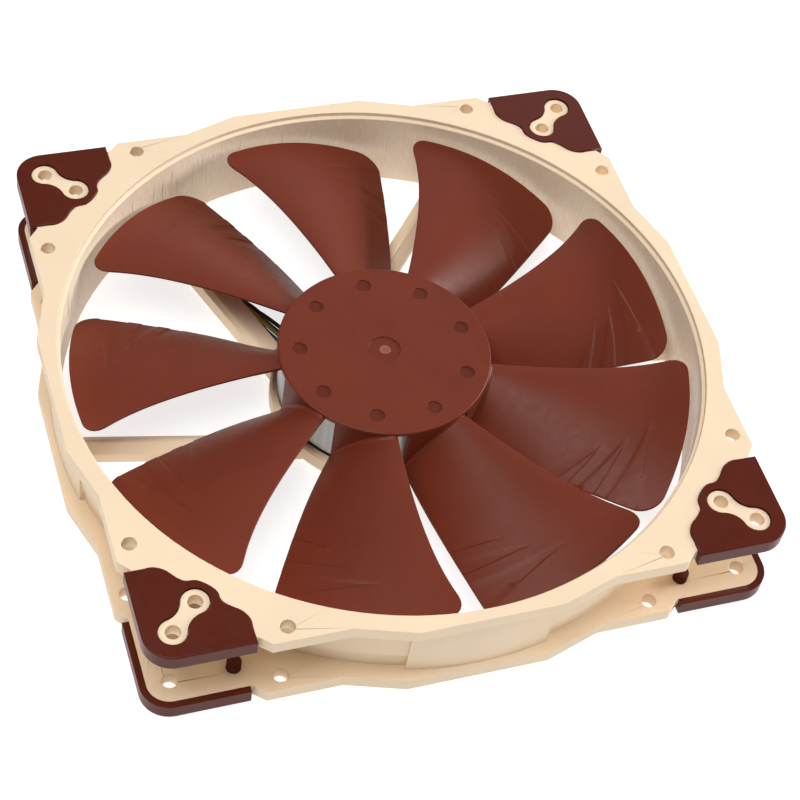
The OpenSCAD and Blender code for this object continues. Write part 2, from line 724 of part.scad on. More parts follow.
module plug_housing() color("#151517") translate([plug_x, hank_mid[1], 0]) difference() {
    union() {
        translate([0, -plug_size[1] / 2, 0]) cube(plug_size);
        translate([1.5, -plug_size[1] / 2 + 1, plug_size[2]]) cube([plug_size[0] - 1.5, 1.2, 0.8]);
        translate([1.5, plug_size[1] / 2 - 4.6, plug_size[2]]) cube([plug_size[0] - 1.5, 1.2, 0.8]);
    }
    for (k = [-1.5:1:1.5]) translate([3, k * pin_pitch - 0.9, plug_size[2] / 2 - 0.9])
        cube([plug_size[0], 1.8, 1.8]);
}

module plug_contacts() color("#d9b75a") translate([plug_x, hank_mid[1], plug_size[2] / 2])
    for (k = [-1.5:1:1.5]) translate([3, k * pin_pitch, 0]) difference() {
        translate([0, -0.9, -0.9]) cube([plug_size[0] - 4, 1.8, 1.8]);
        translate([1, -0.5, -0.5]) cube([plug_size[0], 1, 1]);
    }

frame();
intake_pad(0);  // intake_pad_front_left
intake_pad(1);  // intake_pad_front_right
intake_pad(2);  // intake_pad_back_right
intake_pad(3);  // intake_pad_back_left
exhaust_pad(0);  // exhaust_pad_front_left
exhaust_pad(1);  // exhaust_pad_front_right
exhaust_pad(2);  // exhaust_pad_back_right
exhaust_pad(3);  // exhaust_pad_back_left
impeller();
rotor_can();
magnet_ring();
shaft();
shaft_bush();
shaft_clip();
bearing_tube();
bearing_sleeve();
oil_seal();
thrust_disc();
stator_core();
insulator_upper();
insulator_lower();
coil(0);  // coil_1
coil(1);  // coil_2
coil(2);  // coil_3
coil(3);  // coil_4
circuit_board();
driver_chip();
hall_sensor();
capacitors();
resistors();
solder_pins();
rear_label();
wire_black();
wire_yellow();
wire_green();
wire_blue();
cable_sleeve();
shrink_tube_fan_end();
cable_hank();
cable_tie();
shrink_tube_plug_end();
plug_housing();
plug_contacts();
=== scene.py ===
"""Case fan: the looks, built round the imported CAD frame. Metres, in the CAD model's own frame."""

import json
import math
import random

import bmesh
import bpy
from mathutils import Matrix, Vector


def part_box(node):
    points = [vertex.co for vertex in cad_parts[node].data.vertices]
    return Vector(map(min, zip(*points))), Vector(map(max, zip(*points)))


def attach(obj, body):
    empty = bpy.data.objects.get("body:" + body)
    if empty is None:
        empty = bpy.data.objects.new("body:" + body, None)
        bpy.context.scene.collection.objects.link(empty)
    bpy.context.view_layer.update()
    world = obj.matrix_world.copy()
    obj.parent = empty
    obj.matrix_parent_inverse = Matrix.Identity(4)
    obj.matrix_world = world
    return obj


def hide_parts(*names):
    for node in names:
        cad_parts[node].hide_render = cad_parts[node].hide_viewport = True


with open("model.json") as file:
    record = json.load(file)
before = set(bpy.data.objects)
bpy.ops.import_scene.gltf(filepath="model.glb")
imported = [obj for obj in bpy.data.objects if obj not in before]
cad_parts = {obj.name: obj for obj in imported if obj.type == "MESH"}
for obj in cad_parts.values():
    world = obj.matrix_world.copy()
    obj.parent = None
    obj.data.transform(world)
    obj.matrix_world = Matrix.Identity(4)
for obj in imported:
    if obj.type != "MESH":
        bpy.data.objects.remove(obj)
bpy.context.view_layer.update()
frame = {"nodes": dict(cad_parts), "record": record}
nodes = frame["nodes"]
MM = 0.001
CORNERS = ("front_left", "front_right", "back_right", "back_left")
FIXED = "frame_body"
TURNING = "rotor"

# ---------- camera ----------

CAMERA_AT = Vector((-171.30, -373.42, 504.81)) * MM
CAMERA_FORWARD = Vector((0.27437, 0.57109, -0.77368)).normalized()
CAMERA_RIGHT = Vector((0.94837, -0.29383, 0.11943)).normalized()
CAMERA_LENS = 95.33


def add_camera():
    """A camera at the photo's viewing angle."""
    data = bpy.data.cameras.new("camera")
    data.lens = CAMERA_LENS
    data.sensor_width = 36
    data.clip_start = 0.01
    camera = bpy.data.objects.new("camera", data)
    bpy.context.scene.collection.objects.link(camera)
    up = CAMERA_RIGHT.cross(CAMERA_FORWARD)
    turn = Matrix((CAMERA_RIGHT, up, -CAMERA_FORWARD)).transposed()
    camera.matrix_world = Matrix.Translation(CAMERA_AT) @ turn.to_4x4()
    bpy.context.scene.camera = camera


add_camera()

# ---------- material helpers ----------


class Nodes:
    """A material's node tree, with short calls for the nodes that the finishes share."""

    def __init__(self, name):
        self.material = bpy.data.materials.new(name)
        self.material.use_nodes = True
        self.tree = self.material.node_tree
        self.shader = self.tree.nodes["Principled BSDF"]
        self.place = self.add("ShaderNodeTexCoord").outputs["Object"]

    def add(self, kind, **settings):
        node = self.tree.nodes.new(kind)
        for key, value in settings.items():
            setattr(node, key, value)
        return node

    def link(self, out, into):
        self.tree.links.new(out, into)

    def scaled(self, factors):
        mapping = self.add("ShaderNodeMapping")
        mapping.inputs["Scale"].default_value = factors
        self.link(self.place, mapping.inputs["Vector"])
        return mapping.outputs["Vector"]

    def noise(self, scale, detail=3.0, where=None):
        node = self.add("ShaderNodeTexNoise")
        node.inputs["Scale"].default_value = scale
        node.inputs["Detail"].default_value = detail
        self.link(where or self.place, node.inputs["Vector"])
        return node.outputs["Fac"]

    def mapped(self, value, low, high, start=0.3, end=0.7):
        node = self.add("ShaderNodeMapRange")
        node.inputs["From Min"].default_value = start
        node.inputs["From Max"].default_value = end
        node.inputs["To Min"].default_value = low
        node.inputs["To Max"].default_value = high
        self.link(value, node.inputs["Value"])
        return node.outputs["Result"]

    def math(self, operation, first, second=None):
        node = self.add("ShaderNodeMath", operation=operation)
        for socket, value in zip(node.inputs, (first, second)):
            if value is None:
                continue
            if isinstance(value, (int, float)):
                socket.default_value = value
            else:
                self.link(value, socket)
        return node.outputs["Value"]

    def mixed(self, share, first, second):
        node = self.add("ShaderNodeMix", data_type="RGBA")
        self.link(share, node.inputs["Factor"])
        for socket, value in ((node.inputs["A"], first), (node.inputs["B"], second)):
            if isinstance(value, tuple):
                socket.default_value = (*value, 1)
            else:
                self.link(value, socket)
        return node.outputs["Result"]

    def bump(self, height, distance, strength=1.0, after=None):
        node = self.add("ShaderNodeBump")
        node.inputs["Distance"].default_value = distance
        node.inputs["Strength"].default_value = strength
        self.link(height, node.inputs["Height"])
        if after is not None:
            self.link(after, node.inputs["Normal"])
        return node.outputs["Normal"]


# A paler, whiter colour for the duct wall's streaks: a painted sheen.
STREAK_PAINTED_SHEEN_COLOUR = (0.86, 0.80, 0.74)


def shade(colour, factor):
    """The colour made darker or lighter."""
    return tuple(min(c * factor, 1) for c in colour)


def moulded(name, colour, rough, vary=0.05, grain=2600, depth=0.008 * MM, specular=0.5):
    """Moulded plastic or rubber: cloudy colour, fine grain, uneven gloss, and a painted highlight that
    makes sharp edges lighter.
    """
    n = Nodes(name)
    cloud = n.noise(55, 4.0)
    tint = n.mixed(n.mapped(cloud, 0, 1), shade(colour, 1 - vary), shade(colour, 1 + vary))
    # Painted highlight: convex edges, found by pointiness, are mixed towards a lighter copy of the
    # colour.
    edge = n.add("ShaderNodeNewGeometry").outputs["Pointiness"]
    rim = n.mapped(edge, 0, 0.35, 0.52, 0.60)
    n.link(n.mixed(rim, tint, shade(colour, 1.25)), n.shader.inputs["Base Color"])
    n.link(n.mapped(n.noise(420, 2.0), rough - 0.04, rough + 0.05), n.shader.inputs["Roughness"])
    n.link(n.bump(n.noise(grain, 2.0), depth), n.shader.inputs["Normal"])
    n.shader.inputs["Specular IOR Level"].default_value = specular
    return n.material


def duct_plastic(name, colour, bore_r):
    """The frame's plastic, with fine upright streaks on the duct's inner wall: bumped, and painted paler
    there as a painted sheen.
    """
    n = Nodes(name)
    split = n.add("ShaderNodeSeparateXYZ")
    n.link(n.place, split.inputs[0])
    x, y, z = split.outputs
    radius = n.math("SQRT", n.math("ADD", n.math("MULTIPLY", x, x), n.math("MULTIPLY", y, y)))
    wall = n.math("MULTIPLY", n.mapped(radius, 0, 1, bore_r - 1.5 * MM, bore_r - 1.2 * MM),
                  n.mapped(radius, 1, 0, bore_r + 0.15 * MM, bore_r + 0.3 * MM))
    around = n.math("MULTIPLY", n.math("ARCTAN2", y, x), 60.0)
    streak_place = n.add("ShaderNodeCombineXYZ")
    n.link(around, streak_place.inputs["X"])
    n.link(n.math("MULTIPLY", z, 160.0), streak_place.inputs["Y"])
    streak = n.noise(1.6, 3.0, streak_place.outputs["Vector"])
    cloud = n.noise(45, 4.0)
    tint = n.mixed(n.mapped(cloud, 0, 1), shade(colour, 0.965), shade(colour, 1.03))
    # Painted sheen: on the bore wall the streaks are mixed towards the paler, whiter colour.
    painted_sheen = n.math("MULTIPLY", wall, n.mapped(streak, 0.0, 0.45, 0.42, 0.66))
    n.link(n.mixed(painted_sheen, tint, STREAK_PAINTED_SHEEN_COLOUR), n.shader.inputs["Base Color"])
    n.link(n.mapped(n.noise(380, 2.0), 0.44, 0.54), n.shader.inputs["Roughness"])
    fine = n.bump(n.noise(2400, 2.0), 0.008 * MM)
    n.link(n.bump(n.math("MULTIPLY", wall, streak), 0.12 * MM, 1.0, fine), n.shader.inputs["Normal"])
    n.shader.inputs["Specular IOR Level"].default_value = 0.45
    return n.material


def metal(name, colour, rough, stretch=(1, 1, 1), scale=900, depth=0.004 * MM):
    """Drawn or turned metal, with fine marks along one direction."""
    n = Nodes(name)
    marks = n.noise(scale, 2.0, n.scaled(stretch))
    tint = n.mixed(n.mapped(marks, 0, 1), shade(colour, 0.86), shade(colour, 1.08))
    n.link(tint, n.shader.inputs["Base Color"])
    n.link(n.mapped(n.noise(60, 3.0), rough - 0.05, rough + 0.08), n.shader.inputs["Roughness"])
    n.link(n.bump(marks, depth), n.shader.inputs["Normal"])
    n.shader.inputs["Metallic"].default_value = 1.0
    return n.material


def braid(name, colour, diameter):
    """A braided sleeve: two crossing sets of fine strands."""
    n = Nodes(name)
    waves = []
    for turn in (-1, 1):
        wave = n.add("ShaderNodeTexWave", wave_type="BANDS", bands_direction="DIAGONAL")
        wave.inputs["Scale"].default_value = 0.55 / diameter
        wave.inputs["Distortion"].default_value = 0.6
        n.link(n.scaled((1, turn, 0.6)), wave.inputs["Vector"])
        waves.append(wave.outputs["Fac"])
    weave = n.math("MAXIMUM", *waves)
    n.link(n.mixed(weave, shade(colour, 0.5), shade(colour, 1.9)), n.shader.inputs["Base Color"])
    n.link(n.bump(weave, 0.15 * MM), n.shader.inputs["Normal"])
    n.shader.inputs["Roughness"].default_value = 0.62
    n.shader.inputs["Sheen Weight"].default_value = 0.25
    return n.material


def winding(name, colour):
    """Enamelled copper wire laid side by side."""
    n = Nodes(name)
    wave = n.add("ShaderNodeTexWave", wave_type="BANDS", bands_direction="Z")
    wave.inputs["Scale"].default_value = 900
    wave.inputs["Distortion"].default_value = 0.4
    n.link(n.place, wave.inputs["Vector"])
    tint = n.mixed(wave.outputs["Fac"], shade(colour, 0.45), shade(colour, 1.2))
    n.link(tint, n.shader.inputs["Base Color"])
    n.link(n.bump(wave.outputs["Fac"], 0.1 * MM), n.shader.inputs["Normal"])
    n.shader.inputs["Metallic"].default_value = 0.8
    n.shader.inputs["Roughness"].default_value = 0.35
    return n.material


# ---------- finishes ----------

FRAME_COLOUR = (0.84, 0.66, 0.46)
BLADE_COLOUR = (0.150, 0.026, 0.011)
PAD_COLOUR = (0.085, 0.011, 0.004)
BORE_R = 95.494 * MM
BLADE_FINISH = (0.42, 0.05, 2600, 0.006 * MM, 0.2)

FINISHES = {
    "frame_plastic": duct_plastic("frame_plastic", FRAME_COLOUR, BORE_R),
    "impeller_plastic": moulded("impeller_plastic", BLADE_COLOUR, *BLADE_FINISH),
    "pad_silicone": moulded("pad_silicone", PAD_COLOUR, 0.34, 0.06, 1800, 0.010 * MM, 0.2),
    "can_steel": metal("can_steel", (0.40, 0.385, 0.37), 0.30, (1, 1, 0.03), 700),
    "magnet": moulded("magnet", (0.055, 0.055, 0.06), 0.7, 0.12),
    "shaft_steel": metal("shaft_steel", (0.72, 0.73, 0.74), 0.18, (0.05, 0.05, 1)),
    "brass": metal("brass", (0.72, 0.53, 0.25), 0.28, (0.05, 0.05, 1)),
    "bronze": metal("bronze", (0.48, 0.29, 0.16), 0.45),
    "nylon": moulded("nylon", (0.78, 0.75, 0.68), 0.5),
    "lamination_steel": metal("lamination_steel", (0.42, 0.43, 0.45), 0.4, (0.02, 0.02, 1), 2200,
                              0.02 * MM),
    "copper_enamel": winding("copper_enamel", (0.55, 0.22, 0.08)),
    "board": moulded("board", (0.04, 0.15, 0.07), 0.35, 0.1, 900, 0.01 * MM),
    "black_plastic": moulded("black_plastic", (0.018, 0.018, 0.02), 0.45, 0.1),
    "ceramic_tan": moulded("ceramic_tan", (0.45, 0.33, 0.2), 0.6),
    "tin": metal("tin", (0.75, 0.74, 0.7), 0.3),
    "label": moulded("label", (0.80, 0.76, 0.68), 0.6, 0.02, 1500, 0.01 * MM),
    "wire_black": moulded("wire_black", (0.016, 0.016, 0.018), 0.33, 0.1),
    "wire_yellow": moulded("wire_yellow", (0.34, 0.22, 0.03), 0.33),
    "wire_green": moulded("wire_green", (0.012, 0.09, 0.04), 0.33),
    "wire_blue": moulded("wire_blue", (0.015, 0.05, 0.16), 0.33),
    "braid_black": braid("braid_black", (0.018, 0.018, 0.02), 3.4 * MM),
    "shrink_black": moulded("shrink_black", (0.014, 0.014, 0.015), 0.4, 0.1),
}


def finish(piece, slot):
    """Gives the piece one finish, and the record's material slot of the same name."""
    piece.data.materials.clear()
    piece.data.materials.append(FINISHES[slot])
    return piece


# ---------- mesh helpers ----------


def new_piece(name, verts, faces, smooth=True):
    """A mesh object made from points and faces, linked into the scene."""
    mesh = bpy.data.meshes.new(name)
    mesh.from_pydata([tuple(v) for v in verts], [], faces)
    mesh.validate()
    mesh.update()
    for polygon in mesh.polygons:
        polygon.use_smooth = smooth
    piece = bpy.data.objects.new(name, mesh)
    bpy.context.scene.collection.objects.link(piece)
    return piece


def make_active(piece):
    bpy.ops.object.select_all(action="DESELECT")
    piece.select_set(True)
    bpy.context.view_layer.objects.active = piece


def apply_all(piece):
    make_active(piece)
    for modifier in list(piece.modifiers):
        bpy.ops.object.modifier_apply(modifier=modifier.name)


INNER_HOLE, OUTER_HOLE = 77 * MM, 85 * MM
OPENING_HALF = 5.2 * MM


def by_the_opening(x, y):
    """Whether this lies on the edge of the opening in a pad round its corner's two holes."""
    x, y = abs(x), abs(y)
    along = min(max((x + y) / 2, INNER_HOLE), OUTER_HOLE)
    return math.hypot(x - along, y - along) < OPENING_HALF


def mark_rim(piece, z):
    """Marks the pad's sharp outline at this height, so that only it is rounded."""
    work = bmesh.new()
    work.from_mesh(piece.data)
    weight = work.edges.layers.float.new("bevel_weight_edge")
    for edge in work.edges:
        level = all(abs(v.co.z - z) < 0.001 * MM and not by_the_opening(v.co.x, v.co.y)
                    for v in edge.verts)
        if level and len(edge.link_faces) == 2 and edge.calc_face_angle(0) > math.radians(40):
            edge[weight] = 1.0
    work.to_mesh(piece.data)
    work.free()


def rounded(piece, width, segments=2, angle=32, rim=None):
    """Rounds the sharp edges, or only those at the rim's height. Flat faces keep a flat shading."""
    bevel = piece.modifiers.new("rounding", "BEVEL")
    bevel.width = width
    bevel.segments = segments
    bevel.limit_method = "ANGLE" if rim is None else "WEIGHT"
    bevel.angle_limit = math.radians(angle)
    if rim is not None:
        mark_rim(piece, rim)
    bevel.use_clamp_overlap = False
    bevel.face_strength_mode = "FSTR_AFFECTED"
    apply_all(piece)
    piece.data.set_sharp_from_angle(angle=math.radians(50))
    weighted = piece.modifiers.new("flat_faces", "WEIGHTED_NORMAL")
    weighted.keep_sharp = True
    weighted.use_face_influence = True
    apply_all(piece)
    return piece


def copy_of(node, name, join=True):
    """A new piece with the CAD node's shape, with its coplanar triangles joined if asked."""
    mesh = nodes[node].data.copy()
    mesh.name = name
    work = bmesh.new()
    work.from_mesh(mesh)
    bmesh.ops.remove_doubles(work, verts=work.verts, dist=0.002 * MM)
    if join:
        bmesh.ops.dissolve_limit(work, angle_limit=math.radians(0.8), verts=work.verts, edges=work.edges)
    work.to_mesh(mesh)
    work.free()
    for polygon in mesh.polygons:
        polygon.use_smooth = True
    piece = bpy.data.objects.new(name, mesh)
    bpy.context.scene.collection.objects.link(piece)
    return piece


def curve_through(points, steps):
    """Points of a Catmull-Rom curve through the given ones."""
    points = [Vector(p) for p in points]
    out = []
    for i in range(len(points) - 1):
        a, b = points[max(i - 1, 0)], points[i]
        c, d = points[i + 1], points[min(i + 2, len(points) - 1)]
        for k in range(steps):
            t = k / steps
            out.append(0.5 * (2 * b + (c - a) * t + (2 * a - 5 * b + 4 * c - d) * t * t
                              + (3 * b - a - 3 * c + d) * t * t * t))
    return out + [points[-1]]


def tube(name, path, diameter, sides=20):
    """A closed round tube along a path, with a frame that doesn't twist."""
    path = [Vector(p) for p in path]
    verts = []
    last = len(path) - 1
    side = None
    for i, p in enumerate(path):
        along = (path[min(i + 1, last)] - path[max(i - 1, 0)]).normalized()
        side = along.cross(Vector((0, 0, 1))) if side is None else side - along * side.dot(along)
        side.normalize()
        up = side.cross(along)
        for j in range(sides):
            a = 2 * math.pi * j / sides
            verts.append(p + (side * math.cos(a) + up * math.sin(a)) * diameter / 2)
    faces = []
    for i in range(last):
        for j in range(sides):
            k = (j + 1) % sides
            faces.append((i * sides + j, i * sides + k, (i + 1) * sides + k, (i + 1) * sides + j))
    faces.append(tuple(reversed(range(sides))))
    faces.append(tuple(last * sides + j for j in range(sides)))
    return new_piece(name, verts, faces)


# ---------- cable: the route that part.scad has, then the hank ----------

CABLE_D = 3.4 * MM
CABLE_ROUTE = [(-43.6, 67.4, 2.4), (-45.4, 73, 2.4), (-47.2, 78, 2.4), (-48.5, 83, 2.4), (-48.6, 88, 2.4),
               (-47.8, 93, 2.3), (-45.9, 97.4, 2.1), (-43, 101, 1.9), (-39.8, 104.2, 1.8)]
hank_low, hank_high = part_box("cable_hank")
plug_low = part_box("plug_housing")[0]

HANK_BEND = 7 * MM
HANK_PINCH = 2 * MM
HANK_LEFT = hank_low.x + CABLE_D / 2 + HANK_BEND + 2 * MM
HANK_RIGHT = hank_high.x - HANK_BEND - 9 * MM
TIE_X = (hank_low.x + hank_high.x) / 2
HANK_Y = (hank_low.y + hank_high.y) / 2
CORE_Z = plug_low.z + 2.9 * MM


def eased(value, start, end):
    """0 before start, 1 after end, and a half cosine between."""
    share = min(max((value - start) / (end - start), 0), 1)
    return (1 - math.cos(math.pi * share)) / 2


def hank_run(x):
    """How far a straight run of the hank lies from its middle line: the tie draws the runs together."""
    near = eased(x, HANK_LEFT, TIE_X) if x < TIE_X else 1 - eased(x, TIE_X, HANK_RIGHT)
    return HANK_BEND - HANK_PINCH * near


def spread(first, last, steps):
    """Evenly spaced values from first up to last, without last itself."""
    return [first + (last - first) * k / steps for k in range(steps)]


def hank_path():
    """Clockwise: one lap on the floor, a half lap on top of it, then over the hank's end to the plug."""
    low = hank_low.z + CABLE_D / 2 + 0.05 * MM
    high = low + CABLE_D + 0.05 * MM

    def end_bend(x, first, last, steps, z):
        turns = [math.radians(a) for a in spread(first, last, steps)]
        return [Vector((x + HANK_BEND * math.cos(a), HANK_Y + HANK_BEND * math.sin(a), z)) for a in turns]

    points = end_bend(HANK_LEFT, 141, 90, 4, low)
    points += [Vector((x, HANK_Y + hank_run(x), low)) for x in spread(HANK_LEFT, HANK_RIGHT, 12)]
    points += end_bend(HANK_RIGHT, 90, -90, 14, low)
    for x in spread(HANK_RIGHT, HANK_LEFT, 12):
        rise = (high - low) * (1 - eased(x, HANK_LEFT, HANK_RIGHT))
        points.append(Vector((x, HANK_Y - hank_run(x), low + rise)))
    points += end_bend(HANK_LEFT, 270, 90, 14, high)
    points += [Vector((x, HANK_Y + hank_run(x), high)) for x in spread(HANK_LEFT, TIE_X, 7)]
    core_end = plug_low.x - 1 * MM
    for x in spread(TIE_X, core_end, 16) + [core_end]:
        across = hank_run(TIE_X) * (1 - eased(x, TIE_X, HANK_RIGHT + 6 * MM))
        down = (CORE_Z - high) * eased(x, hank_high.x - 8.4 * MM, hank_high.x + 0.4 * MM)
        points.append(Vector((x, HANK_Y + across, high + down)))
    return points


def build_cable():
    """The sleeved cable, from the frame's edge through the hank to its plug."""
    points = [Vector(p) * MM for p in CABLE_ROUTE] + hank_path()
    path = curve_through(points, 3)
    cable = finish(tube("cable", path, CABLE_D), "braid_black")
    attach(cable, FIXED)
    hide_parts("cable_sleeve", "cable_hank")
    return cable, path


def build_tie():
    """A flat strap round the pinched middle of the hank, with its head on top."""
    low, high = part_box("cable_tie")
    middle = (low + high) / 2
    half_w = HANK_BEND - HANK_PINCH + CABLE_D / 2
    height = 2 * CABLE_D + 0.3 * MM
    strap = 0.7 * MM
    corner = CABLE_D / 2
    outline = []
    for cy, cz, a0 in ((half_w - corner, height - corner, 0), (corner - half_w, height - corner, 90),
                       (corner - half_w, corner, 180), (half_w - corner, corner, 270)):
        for k in range(9):
            a = math.radians(a0 + 90 * k / 8)
            outline.append((cy, cz, math.cos(a), math.sin(a)))
    verts = []
    for x in (-1.4 * MM, 1.4 * MM):
        for grow in (0.02 * MM, strap):
            for cy, cz, c, s in outline:
                z = max(cz + (corner + grow) * s, 0.0)
                verts.append((middle.x + x, middle.y + cy + (corner + grow) * c, z))
    n = len(outline)
    faces = []
    for j in range(n):
        k = (j + 1) % n
        faces += [(n + j, n + k, 3 * n + k, 3 * n + j), (j, 2 * n + j, 2 * n + k, k),
                  (j, k, n + k, n + j), (2 * n + j, 3 * n + j, 3 * n + k, 2 * n + k)]
    strap_piece = finish(new_piece("tie_strap", verts, faces), "shrink_black")
    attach(strap_piece, FIXED)
    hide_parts("cable_tie")
    return strap_piece


cable, cable_path = build_cable()
tie = build_tie()

# ---------- wires ----------

WIRE_D = 1.3 * MM
WIRE_PITCH = WIRE_D + 0.12 * MM
WIRE_ROUTE = [(-12.3, 15.8, 3.84), (-14.8, 18.9, 3.5), (-17.2, 22.1, 3.3), (-19.7, 25.2, 3.3),
              (-21.5, 27.6, 3.2), (-23.4, 31.1, 2.9), (-25.6, 35.6, 2.6), (-27.3, 39.3, 2.4),
              (-29.4, 42.8, 2.4), (-32.3, 46, 2.4), (-35.5, 49.1, 2.4), (-38.2, 52.4, 2.4),
              (-39.9, 56.1, 2.4), (-41.2, 59.8, 2.4), (-43.6, 67.4, 2.4)]


def build_wire(k, colour):
    """One of the four wires: a row at the motor's base turns into a bundle of two by two."""
    middle = curve_through([Vector(p) * MM for p in WIRE_ROUTE], 5)
    path = []
    for i, p in enumerate(middle):
        along = (middle[min(i + 1, len(middle) - 1)] - middle[max(i - 1, 0)]).normalized()
        side = along.cross(Vector((0, 0, 1))).normalized()
        b = min(max((i / (len(middle) - 1) - 0.28) / 0.22, 0), 1)
        turn = math.radians(90 * b)
        half = 0.5 if k % 2 == 0 else -0.5
        across = (1 if k < 2 else -1) * (1 - b * b / 2) + half * math.cos(turn)
        path.append(p + side * WIRE_PITCH * across + Vector((0, 0, WIRE_PITCH * half * math.sin(turn))))
    piece = finish(tube(f"lead_{colour}", path, WIRE_D, 14), f"wire_{colour}")
    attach(piece, FIXED)
    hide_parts(f"wire_{colour}")


for k, colour in enumerate(("black", "green", "yellow", "blue")):
    build_wire(k, colour)

# ---------- impeller ----------

CAN_R = 31.0 * MM
HUB_R = CAN_R + 0.5 * MM
Z_INTAKE = 29.5 * MM
Z_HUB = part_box("impeller")[1].z
Z_HUB_UNDER = Z_HUB - 1.3 * MM
Z_CAN = 8.2 * MM
BLADES = 9
BLADE_PHASE = 168
TIP_R = 92.99449 * MM
LEAD_ROUND, TRAIL_ROUND = 6 * MM, 7 * MM
# Flow channels: the tip's radius and share of the chord, then both edges' radius at the trailing edge
CHANNELS = ((70.0, 0.68, 61.6, 65.4), (76.3, 0.58, 69.2, 74.0), (82.0, 0.41, 78.2, 86.9))
CHANNEL_DEPTH = 0.27 * MM
EDGE_T, BODY_T, TIP_T = 0.9 * MM, 2.3 * MM, 1.5 * MM


def blade_u(r):
    """0 at the hub and 1 at the blade's tip."""
    return (r - HUB_R) / (TIP_R - HUB_R)


def lead_at(r):
    """Where the leading edge is at this radius, in degrees from the blade's own line."""
    u = blade_u(r)
    return 12.1 + 5.3 * u + 2.7 * max(u, 0) ** 4


def trail_at(r):
    """Where the trailing edge is at this radius, in degrees."""
    u = blade_u(r)
    return -21.9 + 10.3 * u - 2.8 * u * u


def corner_cut(r, c):
    """How many degrees a tip corner with rounding c takes off an edge at this radius."""
    d = min(max(r - (TIP_R - c), 0), c)
    return math.degrees((c - math.sqrt(c * c - d * d)) / r)


def blade_angle(r, s):
    """The angle at share s of the chord, from the leading edge to the trailing edge."""
    a = lead_at(r) - corner_cut(r, LEAD_ROUND)
    b = trail_at(r) + corner_cut(r, TRAIL_ROUND)
    return a + (b - a) * s


def blade_z(r, angle):
    """The height of the blade's top face, which is crowned along its chord."""
    u = blade_u(r)
    s = (lead_at(r) - angle) / (lead_at(r) - trail_at(r))
    lead = Z_INTAKE - 5.2 * MM - 0.9 * MM * u
    trail = Z_CAN + 0.2 * MM + 7.6 * MM * u - 3.6 * MM * u * u
    return lead + (trail - lead) * s + (4.2 - u) * MM * 4 * s * (1 - s)


def blade_t(r, s):
    """The blade's thickness: thin at both edges and thinner towards the tip."""
    body = BODY_T + (TIP_T - BODY_T) * blade_u(r)
    return EDGE_T + (body - EDGE_T) * math.sqrt(max(4 * s * (1 - s), 0))


def radius_lines(s):
    """(radius, depth) of the lines that run along the chord, so that they follow the channels' edges."""
    root = CAN_R + 0.2 * MM
    stops = [(root, 0, 9)]
    for tip_r, tip_s, left, right in CHANNELS:
        t = min(max((s - tip_s) / (1 - tip_s), 0), 1)
        bend = t ** 1.6 if right > tip_r else t
        lo = (tip_r - 0.16) * MM + (left - tip_r) * MM * t
        hi = (tip_r + 0.16) * MM + (right - tip_r) * MM * bend
        step = min(0.22 * MM, (hi - lo) * 0.4)
        depth = CHANNEL_DEPTH * min(t * 5, 1) ** 0.7
        stops += [(lo, 0, 1), (lo + step, depth, 3), (hi - step, depth, 1), (hi, 0, 4)]
    stops += [(TIP_R - TRAIL_ROUND, 0, 0)] if stops[-1][0] < TIP_R - TRAIL_ROUND - 1 * MM else []
    out = []
    for (a, da, n), (b, db, _) in zip(stops, stops[1:]):
        out += [(a + (b - a) * k / n, da + (db - da) * k / n) for k in range(n)]
    return out


def tip_lines(last):
    """Radii from the last channel's edge to the tip, closer together where the corners curve."""
    return [(last + (TIP_R - last) * math.sin(math.radians(90 * k / 9)), 0) for k in range(10)]


def build_blade(turn, chord=44):
    """One blade: its top and under faces, with the flow channels in the top, and its four edges."""
    top, under = [], []
    for i in range(chord + 1):
        s = 0.5 - 0.5 * math.cos(math.pi * i / chord) if i < chord else 1.0
        s = 0.35 * s + 0.65 * i / chord
        lines = radius_lines(s)
        edge = (CHANNELS[-1][0] + 0.16) * MM
        t = min(max((s - CHANNELS[-1][1]) / (1 - CHANNELS[-1][1]), 0), 1)
        edge += (CHANNELS[-1][3] - CHANNELS[-1][0]) * MM * t ** 1.6
        lines = [line for line in lines if line[0] < edge - 0.001 * MM] + tip_lines(edge)
        for column, is_top in ((top, True), (under, False)):
            row = []
            for r, depth in lines:
                angle = blade_angle(r, s)
                z = blade_z(r, angle) - (depth if is_top else blade_t(r, s))
                a = math.radians(angle + turn)
                row.append(Vector((r * math.cos(a), r * math.sin(a), z)))
            column.append(row)
    across = len(top[0])
    rows = chord + 1
    verts = [v for row in top for v in row] + [v for row in under for v in row]
    shift = rows * across
    faces = []
    for i in range(chord):
        for j in range(across - 1):
            a, b = i * across + j, i * across + j + 1
            c, d = (i + 1) * across + j + 1, (i + 1) * across + j
            faces += [(a, b, c, d)[::-1], (shift + a, shift + b, shift + c, shift + d)]
    rim = [i * across + across - 1 for i in range(rows)]
    front = list(range(across))
    back = [chord * across + j for j in range(across)]
    root = [i * across for i in range(rows)]
    for line, flip in ((rim, False), (front, False), (back, True), (root, True)):
        for a, b in zip(line, line[1:]):
            face = (a, b, shift + b, shift + a)
            faces.append(face[::-1] if flip else face)
    return verts, faces


